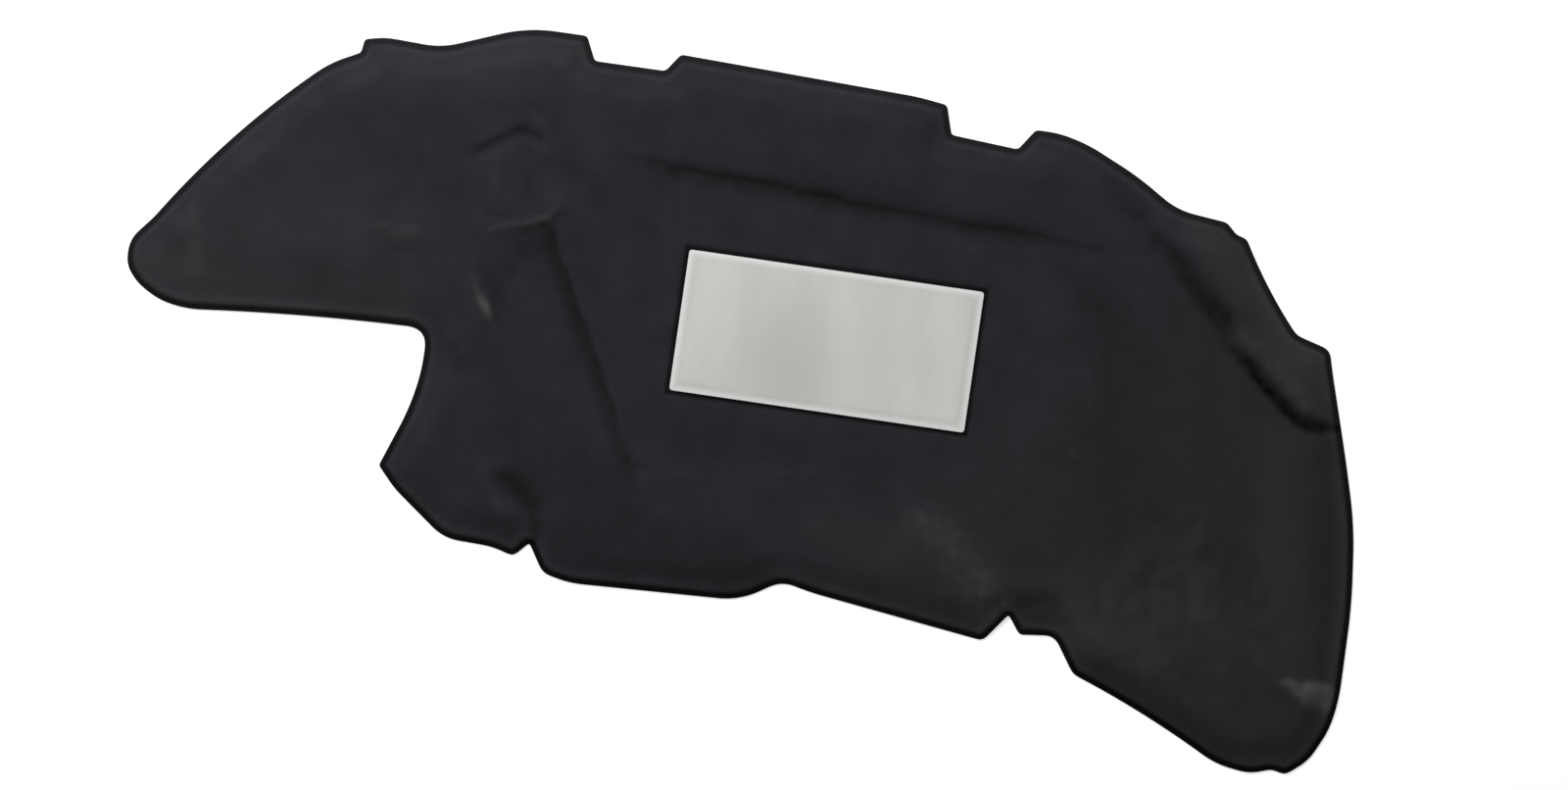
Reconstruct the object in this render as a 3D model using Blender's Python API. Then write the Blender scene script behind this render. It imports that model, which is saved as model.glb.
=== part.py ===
"""Hood insulation pad: a moulded fibre mat with a pressed rim, and the foil patch glued to its middle.

Sizes are in metres. They are drawn from the middle of the patch, with +X along its long edge,
+Y towards the rear edge, which has the two clip notches, and +Z out of the face that looks at
the engine. The finished pieces stand with the middle of the outline's box over the origin.
"""

import math
from typing import NamedTuple

import bmesh
import bpy
import numpy as np
from mathutils import Vector
from mathutils.geometry import delaunay_2d_cdt

# Overall size of the mat, which its plan below is stretched to
PAD_LENGTH = 1.2883
PAD_WIDTH = 0.6464

# Thickness of the mat
RIM_THICK = 0.003
PANEL_THICK = 0.0085
LOFT_REAR = 0.0145
LOFT_FRONT = 0.0110

# Pressed rim: a flat flange, then a shoulder that rises to the loft
RIM_WIDTH = 0.008
SHOULDER_WIDTH = 0.024

# The loft falls from the rear band to the front band between these two lines
REAR_BAND_Y = 0.150
FRONT_BAND_Y = -0.150

# Foil patch
PATCH_LENGTH = 0.3031
PATCH_WIDTH = 0.1445
PATCH_THICK = 0.0010
PATCH_BORDER = 0.0050
PATCH_STEP_WIDTH = 0.0012
PATCH_STEP = 0.0003
PATCH_CORNER = 0.0015
ROUND_PROFILE = 0.5
GLUE_GAP = 0.0003

# How far the flat seat under the patch reaches past its edges
SEAT_MARGIN = 0.003

# Clip notches in the rear edge: flank run is how far each flank leans into the mouth
NOTCH_FLANK_RUN = 0.0125
NOTCH_ROUND = 0.0035
LEFT_NOTCH_DEPTH = 0.0195
RIGHT_NOTCH_DEPTH = 0.0240

# How much deeper each notch is at its left flank than at its right one
NOTCH_FALL = 0.0040

# V notches in the front edge
V_NOTCH_ROUND = 0.003

# The least share of an edge that stays straight between the rounds at its ends
LEAST_STRAIGHT = 0.04

# Distance between points of the mesh along the outline, its rounds, a pressed line and a panel's wall,
# and in the open loft and the back
OUTLINE_STEP = 0.0085
ROUND_STEP = 0.004
FOLD_STEP = 0.0075
WALL_STEP = 0.009
LOFT_STEP = 0.0150
BACK_STEP = 0.075

# Edges that turn by more than this are shaded sharp
MAT_SHARP_DEG = 60
PATCH_SHARP_DEG = 10

# Rows of points that follow a form: across the rim's shoulder, and across half of a fold
SHOULDER_ROWS = (0.0, 0.5, 1.0)
FOLD_ROWS = (0.0, -0.5, 0.5, -1.0, 1.0)

# How near two points of the mesh may be, as a share of the step or of the fold's width
NEAREST_IN_ROW = 0.6
NEAREST_IN_LOFT = 0.62
NEAREST_IN_FOLD = 0.2

# Points nearer than this are one point
SAME_POINT = 1e-7

# How far off its distance from the outline a point beside the rim may be
RIM_SLACK = 0.0003


class Corner(NamedTuple):
    """A corner of the outline, how far back from it its round starts, and the bow of the edge after it."""

    x: float
    y: float
    back: float = 0.0
    bow: float = 0.0


class Fold(NamedTuple):
    """A line pressed into the face: a groove, or a ridge where its depth is below zero."""

    path: tuple
    width: float
    depth: float


class Side(NamedTuple):
    """One side of the sunk panel: where it starts, and how wide its wall is."""

    x: float
    y: float
    wall: float


class Plan(NamedTuple):
    """The mat seen from above: its outline, and all that is pressed into its face."""

    outline: np.ndarray
    panel: list
    lean: list
    folds: list
    dish: np.ndarray


# Sunk middle panel, anticlockwise from the rear right: its rear left corner and its right wall are
# long and faint
PANEL_SIDES = (
    Side(0.240, 0.149, 0.018),
    Side(-0.232, 0.172, 0.070),
    Side(-0.295, 0.082, 0.011),
    Side(-0.173, -0.163, 0.016),
    Side(0.045, -0.145, 0.016),
    Side(0.176, -0.172, 0.060),
    Side(0.296, -0.020, 0.060),
)

# The face between the left wing and the panel leans down to the left crease
LEAN_SIDES = (
    Side(-0.292, 0.084, 0.032),
    Side(-0.350, 0.062, 0.030),
    Side(-0.362, -0.020, 0.050),
    Side(-0.330, -0.160, 0.050),
    Side(-0.178, -0.160, 0.004),
)
LEAN_DROP = 0.0045

DIAGONAL_GROOVE = Fold(
    ((0.320, 0.146), (0.349, 0.123), (0.371, 0.103), (0.387, 0.085), (0.402, 0.074)),
    0.028,
    0.0080,
)
DIAGONAL_RUN_IN = Fold(((0.262, 0.195), (0.284, 0.177), (0.314, 0.152)), 0.024, 0.0022)
HOOKED_GROOVE = Fold(
    ((0.410, 0.052), (0.434, 0.030), (0.464, 0.008), (0.484, -0.009), (0.509, -0.016), (0.532, -0.0155)),
    0.016,
    0.0085,
)
LEFT_CREASE = Fold(((-0.290, 0.086), (-0.242, -0.027), (-0.190, -0.141), (-0.174, -0.164)), 0.012, 0.0034)
PEAKED_CREASE = Fold(((-0.378, 0.138), (-0.346, 0.158), (-0.336, 0.167), (-0.316, 0.159)), 0.010, 0.0030)
LEFT_V_VALLEY = Fold(((-0.308, -0.194), (-0.284, -0.206), (-0.2695, -0.246)), 0.040, 0.0060)
RIGHT_V_VALLEY = Fold(((0.246, -0.234), (0.268, -0.232), (0.286, -0.248)), 0.030, 0.0045)
CORNER_RIDGE = Fold(((-0.345, 0.066), (-0.314, 0.076), (-0.286, 0.098)), 0.026, -0.0030)
BAY_RIDGE = Fold(((-0.368, 0.006), (-0.344, -0.026)), 0.026, -0.0028)
WING_RIDGE = Fold(((-0.467, 0.050), (-0.430, 0.047)), 0.040, -0.0018)
WING_FALL = Fold(((-0.690, -0.030), (-0.650, -0.055), (-0.440, -0.040)), 0.130, 0.0065)
FRONT_RIDGE = Fold(((0.130, -0.176), (0.162, -0.190), (0.200, -0.232)), 0.050, -0.0030)
TIP_RIDGE = Fold(((0.500, -0.278), (0.560, -0.284)), 0.030, -0.0030)
FOLDS = (
    DIAGONAL_GROOVE,
    DIAGONAL_RUN_IN,
    HOOKED_GROOVE,
    LEFT_CREASE,
    PEAKED_CREASE,
    LEFT_V_VALLEY,
    RIGHT_V_VALLEY,
    CORNER_RIDGE,
    BAY_RIDGE,
    WING_RIDGE,
    WING_FALL,
    FRONT_RIDGE,
    TIP_RIDGE,
)

# A shallow round dish below the peaked crease
DISH_CENTRE = (-0.322, 0.119)
DISH_RADIUS = 0.036
DISH_DEPTH = 0.0016

# The thinnest that any groove presses the mat
GROOVE_FLOOR = 0.0025


def clip_notch(right_mouth, left_mouth, depth):
    """A notch in the rear edge, from its right mouth corner to its left one, with leaning flanks."""
    across = np.subtract(left_mouth, right_mouth)
    across = across / np.linalg.norm(across)
    inward = np.array([-across[1], across[0]])
    right_floor = right_mouth + across * NOTCH_FLANK_RUN + inward * depth
    left_floor = left_mouth - across * NOTCH_FLANK_RUN + inward * (depth + NOTCH_FALL)
    return [
        Corner(*right_mouth, NOTCH_ROUND),
        Corner(*right_floor, NOTCH_ROUND),
        Corner(*left_floor, NOTCH_ROUND),
        Corner(*left_mouth, NOTCH_ROUND),
    ]


def outline_corners():
    """The corners of the mat, anticlockwise from the right clip notch."""
    rear_edge = [
        *clip_notch((0.1805, 0.2440), (0.0870, 0.2560), RIGHT_NOTCH_DEPTH),
        Corner(0.0580, 0.2600, 0.025),
        *clip_notch((-0.1890, 0.2680), (-0.2865, 0.2730), LEFT_NOTCH_DEPTH),
        Corner(-0.3470, 0.2730, 0.032),
        Corner(-0.4320, 0.2400, 0.018),
    ]
    wing = [
        Corner(-0.4900, 0.2420, 0.015),
        Corner(-0.5105, 0.2370, 0.003),
        Corner(-0.5125, 0.2230, 0.003),
        Corner(-0.5420, 0.2080, 0.020, 0.0080),
        Corner(-0.6970, 0.0270, 0.008),
        Corner(-0.7185, 0.0010, 0.012),
        Corner(-0.7185, -0.0250, 0.014),
        Corner(-0.7050, -0.0420, 0.012),
        Corner(-0.6800, -0.0565, 0.013),
        Corner(-0.6500, -0.0615, 0.015, -0.0030),
    ]
    bay = [
        Corner(-0.4050, -0.0460, 0.026),
        Corner(-0.4045, -0.0900, 0.020),
        Corner(-0.4120, -0.1300, 0.020),
        Corner(-0.4340, -0.1910, 0.003),
    ]
    front_edge = [
        Corner(-0.4150, -0.2120, 0.010),
        Corner(-0.3580, -0.2550, 0.016),
        Corner(-0.3080, -0.2565, 0.010),
        Corner(-0.2850, -0.2630, 0.006),
        Corner(-0.2705, -0.2475, V_NOTCH_ROUND),
        Corner(-0.2530, -0.2755, 0.008),
        Corner(-0.2250, -0.2820, 0.020),
        Corner(-0.0500, -0.2745, 0.022),
        Corner(-0.0100, -0.2490, 0.014),
        Corner(0.0200, -0.2560, 0.020),
        Corner(0.2015, -0.2795, 0.006),
        Corner(0.2240, -0.2495, V_NOTCH_ROUND),
        Corner(0.2375, -0.2680, 0.004),
        Corner(0.2730, -0.2640, 0.010),
        Corner(0.2975, -0.3000, 0.006, -0.0035),
        Corner(0.4540, -0.3695, 0.016),
    ]
    right_end = [
        Corner(0.4900, -0.3745, 0.012),
        Corner(0.5120, -0.3670, 0.005),
        Corner(0.5265, -0.3705, 0.006),
        Corner(0.5480, -0.3530, 0.012),
        Corner(0.5650, -0.3180, 0.016),
        Corner(0.5700, -0.2850, 0.020),
        Corner(0.5690, -0.1900, 0.030),
        Corner(0.5600, -0.1100, 0.030),
        Corner(0.5430, -0.0480, 0.030),
        Corner(0.5150, 0.0440, 0.012),
        Corner(0.5095, 0.0650, 0.008),
        Corner(0.4740, 0.0750, 0.006, -0.0030),
        Corner(0.4095, 0.1645, 0.004),
        Corner(0.3980, 0.1680, 0.003),
        Corner(0.3870, 0.1785, 0.004),
        Corner(0.3350, 0.1840, 0.018),
        Corner(0.2900, 0.2120, 0.020),
        Corner(0.2350, 0.2370, 0.025),
        Corner(0.2050, 0.2440, 0.012),
    ]
    return rear_edge + wing + bay + front_edge + right_end


def quadratic(start, control, end, share):
    """Points at these shares of the way along a parabola from start to end, which leans to its control."""
    share = np.asarray(share)[:, None]
    return (1 - share) ** 2 * start + 2 * share * (1 - share) * control + share**2 * end


def shares(length, step, first=0.0, last=1.0, fewest=2):
    """Even shares of a line, so that its points are about a step apart."""
    return np.linspace(first, last, max(fewest, round(length * (last - first) / step) + 1))


def bowed_edge(start, end):
    """An edge's ends and its control point, which the bow pulls out of the mat, and its length."""
    tail = np.array([start.x, start.y])
    tip = np.array([end.x, end.y])
    length = np.linalg.norm(tip - tail)
    outward = np.array([tip[1] - tail[1], tail[0] - tip[0]]) / length
    return tail, (tail + tip) / 2 + 2 * start.bow * outward, tip, length


def limit_rounds(corners):
    """Shortens each round that would take nearly half of an edge beside it."""
    limited = []
    for before, corner, after in zip(corners[-1:] + corners[:-1], corners, corners[1:] + corners[:1]):
        shortest = min(math.dist(corner[:2], before[:2]), math.dist(corner[:2], after[:2]))
        longest_round = (1 - LEAST_STRAIGHT) / 2 * shortest
        limited.append(corner._replace(back=min(corner.back, longest_round)))
    return limited


def drawn_outline():
    """The closed outline as drawn, anticlockwise: bowed edges joined by rounds."""
    corners = limit_rounds(outline_corners())
    pieces = []
    for index, corner in enumerate(corners):
        after = corners[(index + 1) % len(corners)]
        last = corners[(index + 2) % len(corners)]
        tail, control, tip, length = bowed_edge(corner, after)
        _, next_control, next_tip, next_length = bowed_edge(after, last)
        reach = shares(length, OUTLINE_STEP, corner.back / length, 1 - after.back / length)
        edge = quadratic(tail, control, tip, reach)
        leave = quadratic(tip, next_control, next_tip, [after.back / next_length])[0]
        turn = shares(2 * after.back, ROUND_STEP, fewest=4)[1:-1]
        pieces.append(edge)
        pieces.append(quadratic(edge[-1], tip, leave, turn))
    return np.vstack(pieces)


def stretched_sides(sides, stretch):
    return [Side(side.x * stretch[0], side.y * stretch[1], side.wall) for side in sides]


def stretched_plan():
    """The plan at the mat's overall size."""
    outline = drawn_outline()
    stretch = (PAD_LENGTH, PAD_WIDTH) / (outline.max(axis=0) - outline.min(axis=0))
    return Plan(
        outline=outline * stretch,
        panel=stretched_sides(PANEL_SIDES, stretch),
        lean=stretched_sides(LEAN_SIDES, stretch),
        folds=[fold._replace(path=np.multiply(fold.path, stretch)) for fold in FOLDS],
        dish=np.multiply(DISH_CENTRE, stretch),
    )


def distance_to_segments(points, starts, ends):
    """How far each point is from each segment, as rows of points."""
    along = ends - starts
    reach = points[:, None, :] - starts[None]
    share = (reach * along).sum(-1) / (along**2).sum(-1)
    nearest = reach - np.clip(share, 0, 1)[..., None] * along
    return np.linalg.norm(nearest, axis=-1)


def distance_to_line(points, line):
    line = np.asarray(line)
    return distance_to_segments(points, line[:-1], line[1:]).min(axis=1)


def distance_to_loop(points, loop):
    return distance_to_segments(points, loop, np.roll(loop, -1, axis=0)).min(axis=1)


def inside_loop(points, loop):
    """Which points a ray to the right leaves through an odd number of edges."""
    starts = loop
    ends = np.roll(loop, -1, axis=0)
    x, y = points[:, 0, None], points[:, 1, None]
    spans = (starts[:, 1] > y) != (ends[:, 1] > y)
    rise = np.where(ends[:, 1] == starts[:, 1], 1, ends[:, 1] - starts[:, 1])
    crossing = starts[:, 0] + (y - starts[:, 1]) / rise * (ends[:, 0] - starts[:, 0])
    return (spans & (x < crossing)).sum(axis=1) % 2 == 1


def smooth(share):
    """A rise from 0 to 1 that starts and ends level."""
    share = np.clip(share, 0, 1)
    return share * share * (3 - 2 * share)


def loop_of(sides):
    return np.array([(side.x, side.y) for side in sides])


def sunk_share(points, sides):
    """How far a walled field has its full effect: 0 outside it, rising to 1 across each side's wall,
    which is steepest at its foot."""
    loop = loop_of(sides)
    walls = np.array([side.wall for side in sides])
    across = distance_to_segments(points, loop, np.roll(loop, -1, axis=0)) / walls
    return np.minimum(across.min(axis=1), 1) ** 2 * inside_loop(points, loop)


def face_height(points, plan):
    """Height of the mat's face over its flat back."""
    towards_rear = smooth((points[:, 1] - FRONT_BAND_Y) / (REAR_BAND_Y - FRONT_BAND_Y))
    height = LOFT_FRONT + (LOFT_REAR - LOFT_FRONT) * towards_rear
    height -= LEAN_DROP * sunk_share(points, plan.lean)
    off_centre = np.linalg.norm(points - plan.dish, axis=1) / DISH_RADIUS
    height -= DISH_DEPTH * smooth(2 - 2 * off_centre)
    height += (PANEL_THICK - height) * sunk_share(points, plan.panel)
    for fold in plan.folds:
        off_line = distance_to_line(points, fold.path) / (fold.width / 2)
        height -= fold.depth * smooth(1 - off_line)
    height = np.maximum(height, GROOVE_FLOOR)
    rise = smooth((distance_to_loop(points, plan.outline) - RIM_WIDTH) / SHOULDER_WIDTH)
    return RIM_THICK + (height - RIM_THICK) * rise


def offset_row(line, offset, step):
    """Points a step apart along a line, moved sideways by the offset. A positive offset is to its left."""
    line = np.asarray(line, float)
    along = np.diff(line, axis=0)
    lengths = np.linalg.norm(along, axis=1)
    travelled = np.concatenate([[0], np.cumsum(lengths)])
    places = np.linspace(0, travelled[-1], max(2, round(travelled[-1] / step) + 1))
    segment = np.clip(np.searchsorted(travelled, places, side="right") - 1, 0, len(lengths) - 1)
    unit = along[segment] / lengths[segment, None]
    on_line = line[segment] + unit * (places - travelled[segment])[:, None]
    return on_line + offset * np.stack([-unit[:, 1], unit[:, 0]], axis=1)


def rim_rows(outline):
    """Rows of points along the foot, the middle and the top of the rim's shoulder."""
    closed = np.vstack([outline, outline[:1]])
    for share in SHOULDER_ROWS:
        inset = RIM_WIDTH + share * SHOULDER_WIDTH
        row = offset_row(closed, inset, OUTLINE_STEP + share * ROUND_STEP)
        yield row[distance_to_loop(row, outline) > inset - RIM_SLACK]


def panel_rows(sides):
    """Rows along the top, the middle and the foot of each wall."""
    for side, following in zip(sides, sides[1:] + sides[:1]):
        line = ((side.x, side.y), (following.x, following.y))
        rows = round(side.wall / LOFT_STEP) + 2
        for inset in np.linspace(0, side.wall, rows):
            yield offset_row(line, inset, WALL_STEP)


def fold_rows(fold):
    """Rows along the bottom, the flanks and both edges of a fold."""
    for share in FOLD_ROWS:
        yield offset_row(fold.path, share * fold.width / 2, FOLD_STEP)


def patch_rows():
    """Rows under the patch's edges and round its seat, so that the seat is flat."""
    for margin in (0, SEAT_MARGIN):
        x = PATCH_LENGTH / 2 + margin
        y = PATCH_WIDTH / 2 + margin
        yield offset_row(((x, y), (-x, y), (-x, -y), (x, -y), (x, y)), 0, LOFT_STEP)


def loft_grid(outline, step):
    """A grid of equal triangles over the outline's box."""
    low, high = outline.min(axis=0), outline.max(axis=0)
    rows = np.arange(low[1], high[1], step * math.sqrt(0.75))
    columns = np.arange(low[0], high[0], step)
    lines = []
    for number, y in enumerate(rows):
        shift = (number % 2) * step / 2
        lines.append(np.stack([columns + shift, np.full(len(columns), y)], axis=1))
    return np.vstack(lines)


def add_apart(kept, points, outline, apart):
    """Adds the points in the mat that are this far from those kept, and half as far from the outline."""
    points = points[inside_loop(points, outline)]
    points = points[distance_to_loop(points, outline) > apart / 2]
    for point in points:
        if np.linalg.norm(kept - point, axis=1).min() >= apart:
            kept = np.vstack([kept, point])
    return kept


def face_points(plan):
    """Every point of the face: the outline's first, then the pressed lines', then the open loft's."""
    in_row = NEAREST_IN_ROW * FOLD_STEP
    outline = kept = plan.outline
    for row in patch_rows():
        kept = add_apart(kept, row, outline, SEAT_MARGIN / 2)
    for row in rim_rows(outline):
        kept = add_apart(kept, row, outline, in_row)
    for fold in plan.folds:
        for row in fold_rows(fold):
            kept = add_apart(kept, row, outline, min(in_row, NEAREST_IN_FOLD * fold.width))
    for sides in (plan.panel, plan.lean):
        for row in panel_rows(sides):
            kept = add_apart(kept, row, outline, in_row)
    return add_apart(kept, loft_grid(outline, LOFT_STEP), outline, NEAREST_IN_LOFT * LOFT_STEP)


def triangulate(points, outline_count):
    """The triangles between these points that lie inside the outline, which is their first points."""
    spots = [Vector(point) for point in points]
    inside_only = 1
    result = delaunay_2d_cdt(spots, [], [list(range(outline_count))], inside_only, SAME_POINT)
    return np.array([tuple(vertex) for vertex in result[0]]), result[2]


def build_mat_mesh(plan):
    """The mat as one closed solid: the pressed face, the flat back, and the cut edge between them."""
    outline = plan.outline
    count = len(outline)
    face_spots, face_triangles = triangulate(face_points(plan), count)
    back_points = add_apart(outline, loft_grid(outline, BACK_STEP), outline, NEAREST_IN_LOFT * BACK_STEP)
    back_spots, back_triangles = triangulate(back_points, count)
    heights = face_height(face_spots, plan)

    shape = bmesh.new()
    face = [shape.verts.new((x, y, z)) for (x, y), z in zip(face_spots, heights)]
    back = [shape.verts.new((x, y, 0)) for x, y in back_spots]
    for triangle in face_triangles:
        shape.faces.new([face[k] for k in triangle])
    for triangle in back_triangles:
        shape.faces.new([back[k] for k in reversed(triangle)])
    for k in range(count):
        following = (k + 1) % count
        shape.faces.new([back[k], back[following], face[following], face[k]])
    bmesh.ops.recalc_face_normals(shape, faces=shape.faces)
    return to_mesh(shape, "insulation_pad", MAT_SHARP_DEG)


def build_patch_mesh():
    """The foil patch: a thin plate whose middle stands a step above its sealed border."""
    shape = bmesh.new()
    x, y = PATCH_LENGTH / 2, PATCH_WIDTH / 2
    corners = ((-x, -y, 0), (x, -y, 0), (x, y, 0), (-x, y, 0))
    base = shape.faces.new([shape.verts.new(corner) for corner in corners])
    grown = bmesh.ops.extrude_face_region(shape, geom=[base])["geom"]
    top = [item for item in grown if isinstance(item, bmesh.types.BMFace)]
    rim = list(top[0].verts)
    bmesh.ops.translate(shape, verts=rim, vec=(0, 0, PATCH_THICK - PATCH_STEP))
    shape.normal_update()
    upright = [edge for edge in shape.edges if len(set(edge.verts) & set(rim)) == 1]
    bmesh.ops.inset_region(shape, faces=top, thickness=PATCH_BORDER)
    bmesh.ops.inset_region(shape, faces=top, thickness=PATCH_STEP_WIDTH)
    bmesh.ops.translate(shape, verts=list(top[0].verts), vec=(0, 0, PATCH_STEP))
    bmesh.ops.bevel(
        shape, geom=upright, affect="EDGES", offset=PATCH_CORNER, segments=3, profile=ROUND_PROFILE
    )
    bmesh.ops.recalc_face_normals(shape, faces=shape.faces)
    return to_mesh(shape, "heat_reflector_patch", PATCH_SHARP_DEG)


def to_mesh(shape, name, sharp_deg):
    """The shape as a mesh that is shaded smooth, apart from edges that turn by more than the sharp angle."""
    mesh = bpy.data.meshes.new(name)
    shape.to_mesh(mesh)
    shape.free()
    mesh.shade_smooth()
    mesh.set_sharp_from_angle(angle=math.radians(sharp_deg))
    return mesh


def plain_material(name, colour, roughness, metallic):
    material = bpy.data.materials.new(name)
    material.use_nodes = True
    shader = material.node_tree.nodes["Principled BSDF"]
    shader.inputs["Base Color"].default_value = (*colour, 1)
    shader.inputs["Roughness"].default_value = roughness
    shader.inputs["Metallic"].default_value = metallic
    return material


def felt_material():
    """Black non-woven face."""
    return plain_material("black_felt", (0.024, 0.024, 0.027), 0.95, 0.0)


def foil_material():
    """Dull aluminium foil."""
    return plain_material("dull_foil", (0.50, 0.51, 0.49), 0.55, 0.4)


def add_piece(mesh, material, parent, height):
    piece = bpy.data.objects.new(mesh.name, mesh)
    mesh.materials.append(material)
    bpy.context.scene.collection.objects.link(piece)
    piece.parent = parent
    piece.location = (0, 0, height)
    return piece


def main():
    for item in list(bpy.data.objects):
        bpy.data.objects.remove(item, do_unlink=True)

    plan = stretched_plan()
    middle = (plan.outline.min(axis=0) + plan.outline.max(axis=0)) / 2
    datum = bpy.data.objects.new("patch_datum", None)
    bpy.context.scene.collection.objects.link(datum)
    datum.location = (-middle[0], -middle[1], 0)

    add_piece(build_mat_mesh(plan), felt_material(), datum, 0)
    add_piece(build_patch_mesh(), foil_material(), datum, PANEL_THICK + GLUE_GAP)


main()
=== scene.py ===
"""Looks of the hood insulation pad: felt mat, foil patch, floor, lamps and camera, in metres."""

import math
from typing import NamedTuple

import bmesh
import bpy
import numpy as np
from mathutils import Matrix, Vector, kdtree, noise
from mathutils.bvhtree import BVHTree
from mathutils.geometry import delaunay_2d_cdt


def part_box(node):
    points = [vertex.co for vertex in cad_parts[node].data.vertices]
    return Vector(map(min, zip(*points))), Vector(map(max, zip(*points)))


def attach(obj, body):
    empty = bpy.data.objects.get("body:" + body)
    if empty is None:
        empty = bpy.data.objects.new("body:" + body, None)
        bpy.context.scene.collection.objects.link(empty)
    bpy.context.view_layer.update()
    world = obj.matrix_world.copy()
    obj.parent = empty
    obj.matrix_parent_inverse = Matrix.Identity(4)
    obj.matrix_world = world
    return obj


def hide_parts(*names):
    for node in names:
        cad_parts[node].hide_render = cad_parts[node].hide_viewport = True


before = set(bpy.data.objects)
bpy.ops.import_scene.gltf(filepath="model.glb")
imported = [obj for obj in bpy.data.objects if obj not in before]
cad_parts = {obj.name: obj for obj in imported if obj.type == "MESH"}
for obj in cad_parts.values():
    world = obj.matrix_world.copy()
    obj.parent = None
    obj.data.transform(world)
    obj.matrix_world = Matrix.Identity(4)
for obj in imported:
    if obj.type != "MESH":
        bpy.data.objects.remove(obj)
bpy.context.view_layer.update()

MAT_NODE = "insulation_pad"
PATCH_NODE = "heat_reflector_patch"
MAT_LOW, MAT_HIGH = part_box(MAT_NODE)
PATCH_LOW, PATCH_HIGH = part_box(PATCH_NODE)
PATCH_HALF = (PATCH_HIGH - PATCH_LOW) / 2
PATCH_CENTRE = (PATCH_LOW + PATCH_HIGH) / 2
PATCH_CENTRE_XY = np.array(PATCH_CENTRE.xy)

# The corners of a square about its middle, anticlockwise from above
CORNERS = ((1, 1), (-1, 1), (-1, -1), (1, -1))

# The picture: how far it is turned on the floor, how wide it is there, and its middle from the patch's
PICTURE_TURN = math.radians(8.28)
PICTURE_WIDTH = 1.600
PICTURE_ACROSS = -0.0351
PICTURE_BACK = -0.0606
PICTURE_MIDDLE = Vector((PATCH_CENTRE.x + PICTURE_ACROSS, PATCH_CENTRE.y + PICTURE_BACK, 0))
PICTURE_RIGHT = Vector((math.cos(PICTURE_TURN), math.sin(PICTURE_TURN), 0))
PICTURE_UP = Vector((-math.sin(PICTURE_TURN), math.cos(PICTURE_TURN), 0))

# The camera: its lens, the height at which that frames the picture, and how far it sees
LENS_MM = 85
SENSOR_MM = 36
CAMERA_HEIGHT = PICTURE_WIDTH * LENS_MM / SENSOR_MM
CAMERA_SIGHT = 50

# The floor lies a little under the mat. Its lift makes it white to the camera and in reflections
FLOOR_HALF = 6.0
FLOOR_DROP = 0.0002
FLOOR_COLOUR = (0.80, 0.80, 0.80)
FLOOR_ROUGHNESS = 0.9
FLOOR_SPECULAR = 0.1
FLOOR_LIFT = 0.46
WHITE = (1.0, 1.0, 1.0)

# Points this close are one point, in the frame's mesh and in a triangulated outline
SAME_FRAME_POINT = 1e-6
SAME_OUTLINE_POINT = 1e-7

# Distance between points of the mat's face, edge and back, and the share of it that the points
# inside keep from the rows along the edge
FACE_STEP = 0.0031
EDGE_STEP = 0.0030
BACK_STEP = 0.0120
FACE_CLEAR_SHARE = 0.5
BACK_CLEAR_SHARE = 0.7

# The mat's edge rolls down over this width and height, to a low upright foot. Its fibres are pressed
# dark in a slightly wider band, with painted shade added there that grows darker towards the front,
# where the edge faces away from the key lamp
ROLL_WIDTH = 0.0054
ROLL_HEIGHT = 0.0024
ROLL_CURVE = 1.25
FOOT_ROUND = 0.0005
ROLL_SHADE = 0.0077
ROLL_SHADE_STEEPNESS = 2.4
ROLL_PRESS_AND_SHADE_REAR = -0.42
ROLL_PRESS_AND_SHADE_FRONT = -1.0

# How far inside the outline each row of points along it lies. Where the outline bends tightly, a row
# keeps only the points that are at least this share of that distance away from it
ROLL_ROWS = (0.0003, 0.0010, 0.0020, 0.0031, 0.0043, 0.0055, 0.0068, 0.0082, 0.0097, 0.0113, 0.0130)
ROW_LEAST_SHARE = 0.93

# A low bead runs along the rim, this far inside the outline. It is painted pale as a painted highlight,
# stronger at the rear, which faces the key lamp
BEAD_INSET = 0.0094
BEAD_REACH = 0.0052
BEAD_HEIGHT = 0.0010
BEAD_HIGHLIGHT_REAR = 0.16
BEAD_HIGHLIGHT_FRONT = 0.09

# Presses fade out this near the outline, the waves of the felt in a wider band, and both at the patch
PRESS_FADE = 0.004
WAVE_FADE = 0.014
PATCH_FADE = 0.020

# The thinnest that a groove presses the felt
LEAST_THICK = 0.0012

# The face is draped on the frame from this height. Averaging each point with its neighbours then
# takes the facets out of the drape
DRAPE_FROM = 1.0
DRAPE_ROUNDS = 6
RELIEF_ROUNDS = 1
AVERAGE_SHARE = 0.5

# Soft waves of the felt: wave length and height
WAVES = ((0.140, 0.0008), (0.040, 0.00022), (0.012, 0.00006))

# Lumps of the front right lobe, in a round area about a point from the patch's middle. They are
# painted paler where they rise and darker where they sink, as painted light and shade
LUMP_CENTRE = (0.390, -0.205)
LUMP_REACH = 0.165
LUMP_STEEPNESS = 1.6
LUMP_LENGTHS = (0.030, 0.013)
LUMP_SEED = 5.5
LUMP_HEIGHT = 0.0009
LUMP_LIGHT_AND_SHADE = 0.13

# The felt is pressed down round the patch, and has closer rows of points there. It is painted dark
# there as a painted shadow round the patch
MOAT_REACH = 0.0066
MOAT_STEEPNESS = 1.5
MOAT_DEPTH = 0.0010
MOAT_PAINTED_SHADOW = -0.85
MOAT_ROWS = (-0.0010, 0.0003, 0.0014, 0.0027, 0.0042, 0.0060)

# How far a press wanders off its path: wave length and distance
WANDER = ((0.032, 0.0034), (0.011, 0.0020))
WANDER_SEED = 11

# Pale and dark tones, painted highlights and shade among them, are blotchy: wave length, and the share
# of each tone that varies
BLOTCH_LENGTH = 0.009
BLOTCH_SEED = 7
PALE_BLOTCH_SHARE = 0.9
DARK_BLOTCH_SHARE = 0.45

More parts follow.
